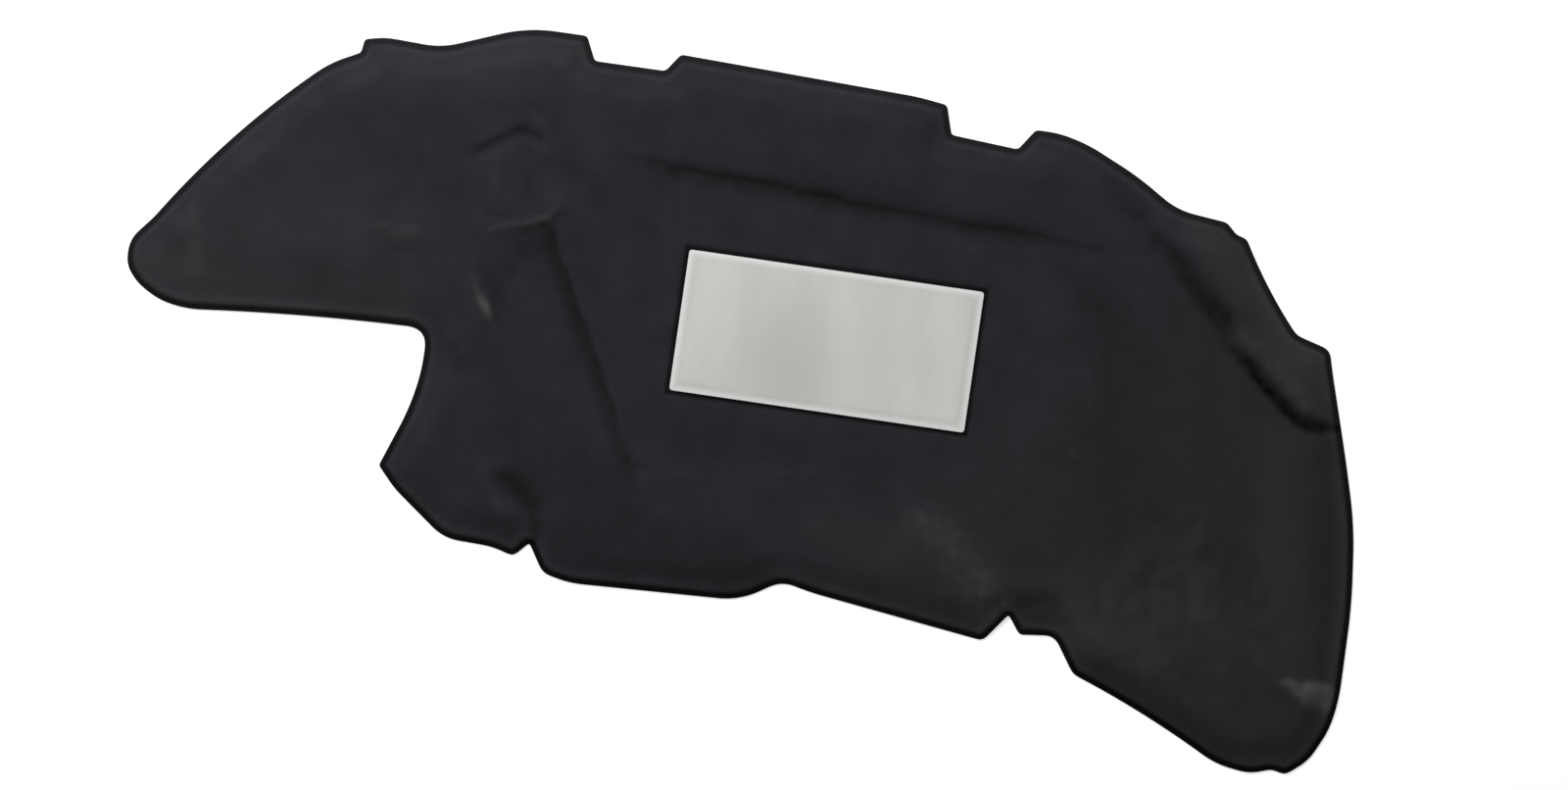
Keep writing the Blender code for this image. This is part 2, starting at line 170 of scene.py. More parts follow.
# The foil patch: the distance between its points, its round corners, a sealed border that is a step
# down, an edge that drops a little more, slight waves inside, and from what angle its edges are sharp
FOIL_STEP = 0.0025
FOIL_CORNER = 0.0030
FOIL_BORDER = 0.0062
FOIL_BORDER_FADE = 0.0030
FOIL_STEP_DOWN = 0.0003
FOIL_EDGE = 0.0016
FOIL_EDGE_DROP = 0.0003
FOIL_WAVE_LENGTH = 0.045
FOIL_WAVE_HEIGHT = 0.00012
FOIL_SEED = 3.0
FOIL_SHARP = math.radians(50)

# The foil is painted darkest about this point from its middle
FOIL_DARK_CENTRE = (-0.030, -0.040)
FOIL_DARK_REACH = (0.090, 0.120)

# A faint line of painted shade runs along the inside of the border, on its step
FOIL_SHADE_LINE_INSET = 0.0084
FOIL_SHADE_LINE_REACH = 0.0030
FOIL_SHADE_LINE_SHARE = 0.45

# Felt: its colours, then its patterns. A scale is in waves a metre, a range is the part of a pattern
# that shows, and a bump is a strength and a height. Its cool tint turns neutral over a range of metres
# to the front right, a painted change in the light's colour
FELT_DARK = (0.0206, 0.0204, 0.0243)
FELT_LIGHT = (0.0250, 0.0247, 0.0296)
FELT_PAINTED_TINT = (0.0226, 0.0229, 0.0226)
FELT_FIBRE = (0.0355, 0.0353, 0.0376)
FELT_PRESSED_AND_SHADE = (0.0028, 0.0028, 0.0030)
FELT_RUBBED_AND_HIGHLIGHT = (0.0850, 0.0850, 0.0870)
FELT_RUBBED_AND_HIGHLIGHT_SHARE = 0.66
MOTTLE_SCALE = 30
MOTTLE_DETAIL = 5.0
MOTTLE_RANGE = (0.30, 0.70)
CLUMP_SCALE = 260
CLUMP_DETAIL = 4.0
CLUMP_RANGE = (0.3, 0.7)
CLUMP_BUMP = (0.35, 0.0008)
FIBRE_SCALE = (90, 1300, 300)
FIBRE_DETAIL = 3.0
FIBRE_TURNS_DEG = (12, 71, 133)
FIBRE_RANGE = (0.58, 0.80)
FIBRE_SHARE = 0.35
FIBRE_BUMP = (0.45, 0.0003)
PAINTED_TINT_RANGE = (0.15, 0.75)
PAINTED_TINT_SHARE = 0.8
FELT_ROUGHNESS = (0.86, 1.0)
FELT_SPECULAR = 0.02
FELT_SHEEN = 0.01
FELT_SHEEN_ROUGHNESS = 0.6

# Foil: its colours, then its patterns, as for the felt
FOIL_MIDDLE = (0.470, 0.475, 0.455)
FOIL_PALE = (0.525, 0.530, 0.508)
FOIL_DARK = (0.410, 0.412, 0.398)
FOIL_RIM = (0.600, 0.602, 0.596)
FOIL_DARK_SHARE = 0.8
FOIL_DETAIL = 3.0
STREAK_SCALE = (18, 4, 8)
STREAK_RANGE = (0.35, 0.65)
ROLLED_SCALE = (700, 25, 100)
ROLLED_RANGE = (0.45, 0.75)
ROLLED_SHARE = 0.35
ROLLED_BUMP = (0.10, 0.0003)
GRAIN_SCALE = 900
GRAIN_RANGE = (0.3, 0.7)
GRAIN_BUMP = (0.15, 0.0001)
FOIL_ROUGHNESS = (0.48, 0.62)
FOIL_METALLIC = 0.35


class Press(NamedTuple):
    """A line pressed into the felt, or raised where its depth is below zero.

    Each point of the path is a place from the patch's middle, with a share of the depth and tone.
    The press reaches this far to the left and to the right of its path, and it is V-shaped if it is
    sharp. Its tone is below zero where the felt is painted dark, for pressed fibres and for shade in
    creases and hollows, and above it where it is painted pale, for rubbed fibres and for highlights
    on ridges and swellings.
    """

    path: tuple
    left: float
    right: float
    depth: float = 0.0
    tone: float = 0.0
    sharp: bool = True


# The creases at the foot of the panel's rear wall, beside its left face and along its front. Their dark
# tone is painted shade in the creases
REAR_CREASE = Press(
    (
        (-0.234, 0.158, 0.3),
        (-0.178, 0.152, 0.9),
        (-0.087, 0.149, 1.0),
        (-0.005, 0.143, 1.0),
        (0.066, 0.140, 0.8),
        (0.138, 0.137, 0.8),
        (0.215, 0.135, 0.75),
        (0.268, 0.132, 0.4),
    ),
    left=0.008,
    right=0.021,
    depth=0.0022,
    tone=-0.46,
)
LEFT_CREASE = Press(
    (
        (-0.298, 0.075, 0.6),
        (-0.290, 0.067, 1.0),
        (-0.284, 0.046, 0.9),
        (-0.272, 0.025, 1.0),
        (-0.242, -0.032, 1.0),
        (-0.213, -0.086, 1.0),
        (-0.190, -0.139, 0.7),
        (-0.168, -0.176, 0.4),
    ),
    left=0.006,
    right=0.019,
    depth=0.0034,
    tone=-0.46,
)
FRONT_CREASE = Press(
    (
        (-0.178, -0.157, 0.9),
        (-0.123, -0.151, 0.6),
        (-0.023, -0.147, 0.6),
        (0.038, -0.145, 0.8),
        (0.109, -0.150, 0.5),
        (0.173, -0.169, 0.1),
    ),
    left=0.016,
    right=0.008,
    depth=0.0010,
    tone=-0.14,
)

# The groove of the right corner: a faint run-in, a wide stretch, and a narrow hooked one with a lip.
# The grooves' dark tone is painted shade, and the lip's pale tone a painted highlight
RUN_IN = Press(
    (
        (0.262, 0.198, 0.5),
        (0.271, 0.193, 0.8),
        (0.286, 0.180, 1.0),
        (0.307, 0.166, 0.8),
        (0.326, 0.148, 0.7),
    ),
    left=0.017,
    right=0.015,
    depth=0.0014,
    tone=-0.22,
)
DIAGONAL_GROOVE = Press(
    (
        (0.316, 0.152, 0.1),
        (0.329, 0.142, 0.5),
        (0.349, 0.123, 0.75),
        (0.374, 0.099, 1.0),
        (0.396, 0.077, 1.0),
        (0.408, 0.064, 0.5),
    ),
    left=0.020,
    right=0.016,
    depth=0.0044,
    tone=-0.55,
)
HOOKED_GROOVE = Press(
    (
        (0.409, 0.053, 0.3),
        (0.424, 0.040, 0.8),
        (0.456, 0.012, 1.0),
        (0.487, -0.013, 1.0),
        (0.498, -0.018, 1.0),
        (0.509, -0.018, 0.8),
        (0.524, -0.014, 0.6),
        (0.532, -0.012, 0.4),
    ),
    left=0.0098,
    right=0.0098,
    depth=0.0046,
    tone=-0.95,
    sharp=False,
)
HOOKED_LIP = Press(
    (
        (0.415, 0.066, 0.6),
        (0.431, 0.056, 1.0),
        (0.464, 0.026, 1.0),
        (0.495, 0.001, 1.0),
        (0.514, -0.004, 0.6),
    ),
    left=0.024,
    right=0.012,
    depth=-0.0022,
    tone=0.24,
)

# The peaked crease of the left wing with the pale spots beside it, and the round mark below it with its
# shade. The crease, the round mark's pit and foot and its shade are darkened with painted shade
PEAKED_CREASE = Press(
    (
        (-0.378, 0.140, 0.4),
        (-0.364, 0.150, 0.9),
        (-0.350, 0.160, 0.9),
        (-0.3365, 0.1695, 1.0),
        (-0.3270, 0.166, 0.9),
        (-0.318, 0.161, 0.7),
    ),
    left=0.010,
    right=0.011,
    depth=0.0024,
    tone=-0.34,
)
PEAK_PALE_SPOT = Press(
    ((-0.333, 0.160, 0.7), (-0.322, 0.156, 1.0)),
    left=0.005,
    right=0.005,
    tone=0.10,
    sharp=False,
)
UPPER_PEAK_PALE_SPOT = Press(
    ((-0.337, 0.187, 0.6), (-0.320, 0.182, 1.0)),
    left=0.009,
    right=0.008,
    tone=0.13,
    sharp=False,
)
LOWER_PEAK_PALE_SPOT = Press(
    ((-0.374, 0.133, 0.7), (-0.362, 0.138, 1.0)),
    left=0.006,
    right=0.006,
    tone=0.14,
    sharp=False,
)
ROUND_MARK = Press(
    ((-0.357, 0.131, 0.7), (-0.357, 0.119, 1.0), (-0.354, 0.103, 0.8)),
    left=0.009,
    right=0.010,
    depth=-0.0004,
    tone=0.08,
    sharp=False,
)
ROUND_PIT = Press(
    ((-0.3214, 0.117, 0.8), (-0.3215, 0.109, 1.0), (-0.327, 0.101, 0.6)),
    left=0.009,
    right=0.009,
    depth=0.0008,
    tone=-0.18,
    sharp=False,
)
ROUND_FOOT = Press(
    ((-0.360, 0.079, 0.7), (-0.348, 0.077, 1.0), (-0.337, 0.077, 0.8)),
    left=0.007,
    right=0.005,
    depth=0.0006,
    tone=-0.18,
)
ROUND_SHADE = Press(
    ((-0.292, 0.143, 0.8), (-0.267, 0.131, 1.0), (-0.251, 0.103, 0.7)),
    left=0.018,
    right=0.016,
    tone=-0.10,
    sharp=False,
)

# Edges that stand up a little, painted pale as painted highlights, and the painted glow, painted shade
# or hollow beside them, the hollows darkened with painted shade
CORNER_RIDGE = Press(
    (
        (-0.356, 0.0625, 0.3),
        (-0.332, 0.0715, 0.6),
        (-0.313, 0.078, 0.8),
        (-0.298, 0.084, 1.0),
        (-0.2935, 0.091, 0.6),
        (-0.290, 0.099, 0.1),
    ),
    left=0.008,
    right=0.006,
    depth=-0.0014,
    tone=0.36,
)
CORNER_SHADE = Press(
    ((-0.330, 0.060, 0.4), (-0.312, 0.069, 0.8), (-0.298, 0.075, 1.0)),
    left=0.004,
    right=0.008,
    depth=0.0008,
    tone=-0.16,
)
BAY_RIDGE = Press(
    (
        (-0.3686, 0.016, 0.10),
        (-0.361, 0.006, 0.30),
        (-0.352, -0.0097, 0.90),
        (-0.347, -0.0165, 1.0),
        (-0.340, -0.026, 0.50),
        (-0.335, -0.034, 0.10),
    ),
    left=0.0065,
    right=0.012,
    depth=-0.0024,
    tone=0.8,
    sharp=False,
)
BAY_GLOW = Press(
    ((-0.368, 0.002, 0.6), (-0.360, -0.012, 1.0), (-0.352, -0.026, 0.5)),
    left=0.014,
    right=0.016,
    tone=0.13,
    sharp=False,
)
BAY_DIP = Press(
    ((-0.360, 0.023, 0.6), (-0.3475, 0.008, 1.0), (-0.335, -0.008, 0.8)),
    left=0.014,
    right=0.009,
    depth=0.0010,
    tone=-0.24,
    sharp=False,
)
BAY_HOLLOW = Press(
    ((-0.397, -0.050, 0.5), (-0.3785, -0.062, 1.0), (-0.360, -0.083, 0.6)),
    left=0.020,
    right=0.022,
    depth=0.0014,
    tone=-0.27,
    sharp=False,
)
WING_RIDGE = Press(
    ((-0.455, 0.046, 0.4), (-0.447, 0.0466, 1.0), (-0.431, 0.0478, 1.0), (-0.424, 0.049, 0.4)),
    left=0.011,
    right=0.011,
    depth=-0.0009,
    tone=0.17,
    sharp=False,
)
WING_DOT = Press(
    ((-0.4685, 0.0501, 0.9), (-0.461, 0.0503, 1.0)),
    left=0.008,
    right=0.007,
    depth=-0.0004,
    tone=0.12,
    sharp=False,
)
WING_LINE = Press(
    ((-0.455, 0.027, 0.5), (-0.440, 0.0285, 1.0), (-0.425, 0.030, 0.5)),
    left=0.007,
    right=0.006,
    depth=0.0004,
    tone=-0.10,
)
WING_TIP_RIDGE = Press(
    ((-0.655, 0.058, 0.3), (-0.652, 0.029, 1.0), (-0.646, -0.006, 1.0), (-0.640, -0.038, 0.5)),
    left=0.011,
    right=0.018,
    depth=-0.0005,
    tone=0.12,
    sharp=False,
)
LOBE_RIDGE = Press(
    (
        (0.504, -0.279, 0.10),
        (0.512, -0.279, 0.30),
        (0.520, -0.279, 0.38),
        (0.529, -0.281, 0.55),
        (0.539, -0.282, 1.0),
        (0.5505, -0.284, 1.0),
        (0.559, -0.286, 1.0),
        (0.5635, -0.292, 0.8),
    ),
    left=0.017,
    right=0.020,
    depth=-0.0026,
    tone=2.0,
    sharp=False,
)
LOBE_GLOW = Press(
    ((0.516, -0.284, 0.5), (0.545, -0.290, 1.0), (0.560, -0.297, 0.8)),
    left=0.018,
    right=0.018,
    tone=0.30,
    sharp=False,
)

# The swellings and the hollow beside the right V notch, then what lies at the left one: a hollow
# with its tail, a pale spot and a swelling. The swellings are painted pale as painted light, and the
# hollows and the tail dark as painted shade
FRONT_SWELL = Press(
    (
        (0.127, -0.172, 0.8),
        (0.149, -0.186, 1.0),
        (0.178, -0.210, 1.0),
        (0.206, -0.231, 1.0),
        (0.211, -0.2510, 0.9),
    ),
    left=0.038,
    right=0.044,
    depth=-0.0030,
    tone=0.29,
    sharp=False,
)
RIGHT_V_HOLLOW = Press(
    ((0.230, -0.237, 0.6), (0.247, -0.239, 0.9), (0.266, -0.240, 0.9), (0.288, -0.254, 1.0)),
    left=0.022,
    right=0.026,
    depth=0.0008,
    tone=-0.21,
    sharp=False,
)
LOBE_SWELL = Press(
    ((0.268, -0.262, 0.4), (0.318, -0.268, 1.0), (0.370, -0.290, 0.6)),
    left=0.050,
    right=0.025,
    depth=-0.0030,
    tone=0.10,
    sharp=False,
)
NOTCH_HOLLOW = Press(
    ((-0.294, -0.196, 0.9), (-0.284, -0.201, 1.0), (-0.2745, -0.2075, 0.9)),
    left=0.034,
    right=0.019,
    depth=0.0026,
    tone=-0.44,
    sharp=False,
)
NOTCH_TAIL = Press(
    ((-0.276, -0.209, 0.9), (-0.268, -0.225, 0.8), (-0.266, -0.242, 0.9)),
    left=0.011,
    right=0.010,
    depth=0.0016,
    tone=-0.50,
    sharp=False,
)
NOTCH_PALE_SPOT = Press(
    ((-0.2615, -0.209, 0.7), (-0.253, -0.219, 1.0)),
    left=0.012,
    right=0.008,
    depth=-0.0006,
    tone=0.14,
    sharp=False,
)
LEFT_SWELL = Press(
    ((-0.328, -0.172, 0.5), (-0.320, -0.195, 0.7), (-0.306, -0.217, 1.0)),
    left=0.010,
    right=0.013,
    depth=-0.0005,
    tone=0.10,
    sharp=False,
)

# The faint fold down the right face, darkened with painted shade, with its streaks and dot, painted
# pale where raised and dark where pressed, and a pale spot by the rear crease
RIGHT_FOLD = Press(
    ((0.232, 0.100, 0.5), (0.281, 0.059, 1.0), (0.292, -0.010, 1.0), (0.301, -0.085, 0.3)),
    left=0.030,
    right=0.014,
    depth=0.0009,
    tone=-0.08,
)
PALE_STREAK = Press(
    ((0.267, 0.017, 0.6), (0.272, -0.018, 1.0), (0.279, -0.052, 0.4)),
    left=0.007,
    right=0.007,
    depth=-0.0005,
    tone=0.10,
    sharp=False,
)
DARK_STREAK = Press(
    ((0.289, 0.025, 0.5), (0.294, 0.000, 1.0), (0.300, -0.034, 0.5)),
    left=0.007,
    right=0.007,
    depth=0.0005,
    tone=-0.12,
    sharp=False,
)
PALE_DOT = Press(
    ((0.266, -0.076, 0.9), (0.268, -0.079, 1.0)),
    left=0.007,
    right=0.007,
    depth=-0.0004,
    tone=0.16,
    sharp=False,
)
PANEL_PALE_SPOT = Press(
    ((0.116, 0.116, 0.7), (0.142, 0.112, 1.0)),
    left=0.010,
    right=0.010,
    depth=-0.0004,
    tone=0.08,
    sharp=False,
)

PRESSES = (
    REAR_CREASE,
    LEFT_CREASE,
    FRONT_CREASE,
    RUN_IN,
    DIAGONAL_GROOVE,
    HOOKED_GROOVE,
    HOOKED_LIP,
    PEAKED_CREASE,
    PEAK_PALE_SPOT,
    UPPER_PEAK_PALE_SPOT,
    LOWER_PEAK_PALE_SPOT,
    ROUND_MARK,
    ROUND_PIT,
    ROUND_FOOT,
    ROUND_SHADE,
    CORNER_RIDGE,
    CORNER_SHADE,
    BAY_RIDGE,
    BAY_GLOW,
    BAY_DIP,
    BAY_HOLLOW,
    WING_RIDGE,
    WING_DOT,
    WING_LINE,
    WING_TIP_RIDGE,
    LOBE_RIDGE,
    LOBE_GLOW,
    FRONT_SWELL,
    RIGHT_V_HOLLOW,
    LOBE_SWELL,
    NOTCH_HOLLOW,
    NOTCH_TAIL,
    NOTCH_PALE_SPOT,
    LEFT_SWELL,
    RIGHT_FOLD,
    PALE_STREAK,
    DARK_STREAK,
    PALE_DOT,
    PANEL_PALE_SPOT,
)

# Wide soft areas of painted light and painted shade, where the felt is painted paler or darker
WING_PAINTED_LIGHT = Press(
    ((-0.640, -0.010, 0.9), (-0.540, 0.060, 1.0), (-0.420, 0.020, 0.6)),
    left=0.11,
    right=0.11,
    tone=0.13,
    sharp=False,
)
WING_LOW_PAINTED_LIGHT = Press(
    ((-0.690, -0.020, 1.0), (-0.600, -0.035, 0.8), (-0.440, -0.022, 0.8)),
    left=0.040,
    right=0.040,
    tone=0.16,
    sharp=False,
)
TOP_PAINTED_LIGHT = Press(
    ((-0.500, 0.200, 1.0), (-0.300, 0.245, 1.0)),
    left=0.050,
    right=0.050,
    tone=0.13,
    sharp=False,
)
FLAP_PAINTED_LIGHT = Press(
    ((0.355, 0.165, 0.6), (0.420, 0.118, 1.0), (0.500, 0.030, 1.0)),
    left=0.050,
    right=0.034,
    tone=0.29,
    sharp=False,
)
LOBE_PAINTED_LIGHT = Press(
    ((0.300, -0.240, 1.0), (0.340, -0.230, 1.0), (0.400, -0.215, 0.6), (0.470, -0.250, 0.5)),
    left=0.070,
    right=0.070,
    tone=0.22,
    sharp=False,
)
LOBE_EDGE_PAINTED_SHADE = Press(
    ((0.300, -0.290, 0.6), (0.380, -0.326, 1.0), (0.460, -0.358, 1.0)),
    left=0.024,
    right=0.020,
    tone=-0.22,
    sharp=False,
)
RIGHT_EDGE_PAINTED_LIGHT = Press(
    ((0.532, -0.060, 0.7), (0.549, -0.120, 1.0), (0.557, -0.190, 1.0), (0.558, -0.260, 1.0)),
    left=0.016,
    right=0.016,
    tone=0.17,
    sharp=False,
)
SHOULDER_SHADE = Press(
    ((0.521, -0.087, 0.6), (0.528, -0.137, 1.0), (0.530, -0.187, 0.7)),
    left=0.018,
    right=0.018,
    tone=-0.09,
    sharp=False,
)
RIGHT_FACE_PAINTED_LIGHT = Press(
    ((0.466, -0.035, 0.8), (0.482, -0.144, 1.0), (0.505, -0.232, 0.8)),
    left=0.050,
    right=0.050,
    tone=0.13,
    sharp=False,
)
UPPER_RIGHT_SHADE = Press(
    ((0.232, 0.118, 0.7), (0.248, 0.075, 1.0), (0.287, 0.055, 0.7)),
    left=0.024,
    right=0.022,
    tone=-0.12,
    sharp=False,
)
RIGHT_PAINTED_SHADE = Press(
    ((0.270, 0.080, 0.6), (0.300, -0.010, 1.0), (0.310, -0.110, 1.0)),
    left=0.080,
    right=0.065,
    tone=-0.14,
    sharp=False,
)
FRONT_PAINTED_SHADE = Press(
    ((-0.230, -0.235, 1.0), (-0.060, -0.235, 1.0)),
    left=0.050,
    right=0.050,
    tone=-0.22,
    sharp=False,
)
BUMP_PAINTED_LIGHT = Press(
    ((0.020, -0.190, 0.8), (0.090, -0.200, 1.0)),
    left=0.040,
    right=0.040,
    tone=0.12,
    sharp=False,
)
PANEL_LOW_PAINTED_SHADE = Press(
    ((-0.130, -0.115, 1.0), (0.060, -0.118, 1.0)),
    left=0.040,
    right=0.040,
    tone=-0.12,
    sharp=False,
)
REAR_PAINTED_SHADE = Press(
    ((-0.160, 0.175, 0.8), (-0.060, 0.170, 1.0), (0.060, 0.160, 0.8)),
    left=0.026,
    right=0.030,
    tone=-0.12,
    sharp=False,
)
REAR_NOTCH_SHADE = Press(
    ((0.158, 0.203, 0.9), (0.171, 0.199, 1.0)),
    left=0.018,
    right=0.018,
    tone=-0.16,
    sharp=False,
)
LEFT_PAINTED_SHADE = Press(
    ((-0.290, -0.130, 1.0), (-0.190, -0.190, 0.8)),
    left=0.050,
    right=0.060,
    tone=-0.18,
    sharp=False,
)
WEDGE_PAINTED_SHADE = Press(
    ((-0.352, 0.036, 0.8), (-0.309, 0.050, 1.0)),
    left=0.022,
    right=0.030,
    tone=-0.10,
    sharp=False,
)
PANEL_SHADE = Press(
    ((-0.202, 0.080, 1.0), (-0.199, 0.025, 0.9)),
    left=0.024,
    right=0.024,
    tone=-0.09,
    sharp=False,
)

PAINTED_LIGHT_AND_SHADE = (
    WING_PAINTED_LIGHT,
    WING_LOW_PAINTED_LIGHT,
    TOP_PAINTED_LIGHT,
    FLAP_PAINTED_LIGHT,
    LOBE_PAINTED_LIGHT,
    LOBE_EDGE_PAINTED_SHADE,
    RIGHT_EDGE_PAINTED_LIGHT,
    SHOULDER_SHADE,
    RIGHT_FACE_PAINTED_LIGHT,
    UPPER_RIGHT_SHADE,
    RIGHT_PAINTED_SHADE,
    FRONT_PAINTED_SHADE,
    BUMP_PAINTED_LIGHT,
    PANEL_LOW_PAINTED_SHADE,
    REAR_PAINTED_SHADE,
    REAR_NOTCH_SHADE,
    LEFT_PAINTED_SHADE,
    WEDGE_PAINTED_SHADE,
    PANEL_SHADE,
)


# Shapes of the frame


def merged_copy(node):
    """The node's mesh with the points of its faces joined."""
    shape = bmesh.new()
    shape.from_mesh(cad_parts[node].data)
    bmesh.ops.remove_doubles(shape, verts=shape.verts, dist=SAME_FRAME_POINT)
    return shape


def back_outline(shape):
    """The points of the flat back's edge in order, anticlockwise from above."""
    low = min(vertex.co.z for vertex in shape.verts) + SAME_FRAME_POINT
    back = [face for face in shape.faces if max(vertex.co.z for vertex in face.verts) < low]
    in_back = set(back)
    following = {}
    for face in back:
        for loop in face.loops:
            if loop.edge.is_boundary or any(other not in in_back for other in loop.edge.link_faces):
                following[loop.link_loop_next.vert] = loop.vert
    start = vertex = next(iter(following))
    points = []
    while not points or vertex != start:
        points.append((vertex.co.x, vertex.co.y))
        vertex = following[vertex]
    return np.array(points)


def spline_loop(points, step):
    """The closed Catmull-Rom curve through these points, as points about a step apart."""
    before, ahead, far = (np.roll(points, shift, axis=0) for shift in (1, -1, -2))
    pieces = []
    for previous, start, end, following in zip(before, points, ahead, far):
        count = max(1, round(np.linalg.norm(end - start) / step))
        share = np.arange(count)[:, None] / count
        square = 2 * previous - 5 * start + 4 * end - following
        cube = 3 * start - previous - 3 * end + following
        pieces.append(0.5 * (2 * start + (end - previous) * share + square * share**2 + cube * share**3))
    return np.vstack(pieces)


def inset_loop(loop, inset):
    """The anticlockwise loop moved inwards."""
    along = np.roll(loop, -1, axis=0) - np.roll(loop, 1, axis=0)
    along /= np.linalg.norm(along, axis=1)[:, None]
    return loop + inset * np.stack([-along[:, 1], along[:, 0]], axis=1)


def inside_loop(points, loop):
    """Which points are inside: a ray to the right of them crosses an odd number of edges."""
    inside = np.zeros(len(points), bool)
    for start, end in zip(loop, np.roll(loop, -1, axis=0)):
        if start[1] != end[1]:
            spans = (start[1] > points[:, 1]) != (end[1] > points[:, 1])
            crossing = start[0] + (points[:, 1] - start[1]) * (end[0] - start[0]) / (end[1] - start[1])
            inside ^= spans & (points[:, 0] < crossing)
    return inside


def off_loop(points, loop):
    """How far each point is from the nearest point of the loop."""
    tree = kdtree.KDTree(len(loop))
    for number, point in enumerate(loop):
        tree.insert((*point, 0), number)
    tree.balance()
    return np.array([tree.find((*point, 0))[2] for point in points])


def filling_grid(loop, step):
    """A grid of equal-sided triangles that fills the loop."""
    low, high = loop.min(axis=0), loop.max(axis=0)
    rows = np.arange(low[1], high[1], step * math.sqrt(3) / 2)
    columns = np.arange(low[0], high[0], step)
    lines = []
    for number, y in enumerate(rows):
        shift = (number % 2) * step / 2
        lines.append(np.stack([columns + shift, np.full(len(columns), y)], axis=1))
    points = np.vstack(lines)
    return points[inside_loop(points, loop)]


def triangulate(loop, filling):
    """The points of the loop and then its filling, and the triangles between them."""
    spots = [Vector(point) for point in np.vstack([loop, filling])]
    inside_only = 1
    result = delaunay_2d_cdt(spots, [], [list(range(len(loop)))], inside_only, SAME_OUTLINE_POINT)
    return np.array([tuple(spot) for spot in result[0]]), np.array(result[2])


# Relief of the felt


def smooth(share):
    """A rise from 0 to 1 that starts and ends level."""
    share = np.clip(share, 0, 1)
    return share * share * (3 - 2 * share)


def beside_path(points, press):
    """How far each point is off the press, from 0 on its path to 1 where it ends, and its share there.

    The press narrows as its share falls.
    """
    path = np.array(press.path)
    nearest = np.full(len(points), np.inf)
    off = np.full(len(points), np.inf)
    shares = np.zeros(len(points))
    for start, end in zip(path[:-1], path[1:]):
        along = end[:2] - start[:2]
        reach = points - start[:2]
        place = np.clip(reach @ along / (along @ along), 0, 1)
        away = np.linalg.norm(reach - place[:, None] * along, axis=1)
        on_left = along[0] * reach[:, 1] - along[1] * reach[:, 0] > 0
        share = start[2] + place * (end[2] - start[2])
        width = np.where(on_left, press.left, press.right) * np.sqrt(share)
        closer = away < nearest
        nearest[closer] = away[closer]
        off[closer] = (away / width)[closer]
        shares[closer] = share[closer]
    return off, shares


def waves(points, length, seed):
    """Soft noise between about -1 and 1, with this wave length."""
    return np.array([noise.noise(Vector((x / length, y / length, seed))) for x, y in points])


def wander(points):
    """How far the presses wander sideways at each point."""
    moved = np.zeros_like(points)
    for number, (length, distance) in enumerate(WANDER):
        for axis in (0, 1):
            moved[:, axis] += distance * waves(points, length, WANDER_SEED + 2 * number + axis)
    return moved


def drape(tree, points):
    """Height of the frame's face under each point."""
    down = Vector((0, 0, -1))
    return np.array([tree.ray_cast(Vector((x, y, DRAPE_FROM)), down)[0].z for x, y in points])


def average(heights, triangles, held, rounds):
    """Averages each height with its neighbours, apart from the held ones."""
    edges = np.vstack([triangles[:, pair] for pair in ((0, 1), (1, 2), (2, 0))])
    edges = np.vstack([edges, edges[:, ::-1]])
    count = np.bincount(edges[:, 0], minlength=len(heights))
    for _ in range(rounds):
        total = np.bincount(edges[:, 0], heights[edges[:, 1]], minlength=len(heights))
        moved = heights + AVERAGE_SHARE * (total / np.maximum(count, 1) - heights)
        heights = np.where(held, heights, moved)
    return heights


def off_patch(from_patch):
    """How far each point is outside the patch's edges."""
    return np.maximum(np.abs(from_patch[:, 0]) - PATCH_HALF.x, np.abs(from_patch[:, 1]) - PATCH_HALF.y)


def pressed_lines(from_patch):
    """What the presses add to the face, and the tone that they and the wide areas of painted light and
    shade give it.
    """
    added = np.zeros(len(from_patch))
    dark = np.zeros(len(from_patch))
    pale = np.zeros(len(from_patch))
    wandered = from_patch + wander(from_patch)
    for press in PRESSES:
        off, share = beside_path(wandered, press)
        soft = smooth(1 - off)
        profile = np.clip(1 - off, 0, 1) ** 2 if press.sharp else soft
        added -= press.depth * share * profile
        dark = np.minimum(dark, press.tone * share * soft)
        pale = np.maximum(pale, press.tone * share * soft)
    blotch = waves(from_patch, BLOTCH_LENGTH, BLOTCH_SEED)
    tone = dark * (1 + DARK_BLOTCH_SHARE * blotch) + pale * (1 + PALE_BLOTCH_SHARE * blotch)
    # Wide areas of painted light and shade
    for painted_area in PAINTED_LIGHT_AND_SHADE:
        off, share = beside_path(from_patch, painted_area)
        tone += painted_area.tone * share * smooth(1 - off)
    return added, tone


def felt_waves(from_patch):
    """The soft waves of the felt and the lumps of its front right lobe, and the painted light and shade
    of the lumps.
    """
    added = np.zeros(len(from_patch))
    for number, (length, height) in enumerate(WAVES):
        added += height * waves(from_patch, length, number)
    off_lobe = np.linalg.norm(from_patch - LUMP_CENTRE, axis=1)
    lumpy = smooth(LUMP_STEEPNESS * (1 - off_lobe / LUMP_REACH))
    lumps = lumpy * sum(waves(from_patch, length, LUMP_SEED) for length in LUMP_LENGTHS)
    return added + LUMP_HEIGHT * lumps, LUMP_LIGHT_AND_SHADE * lumps


def rear_to_front(points, at_rear, at_front):
    """A value that changes evenly from the mat's rear edge to its front edge."""
    return np.interp(points[:, 1], (MAT_LOW.y, MAT_HIGH.y), (at_front, at_rear))


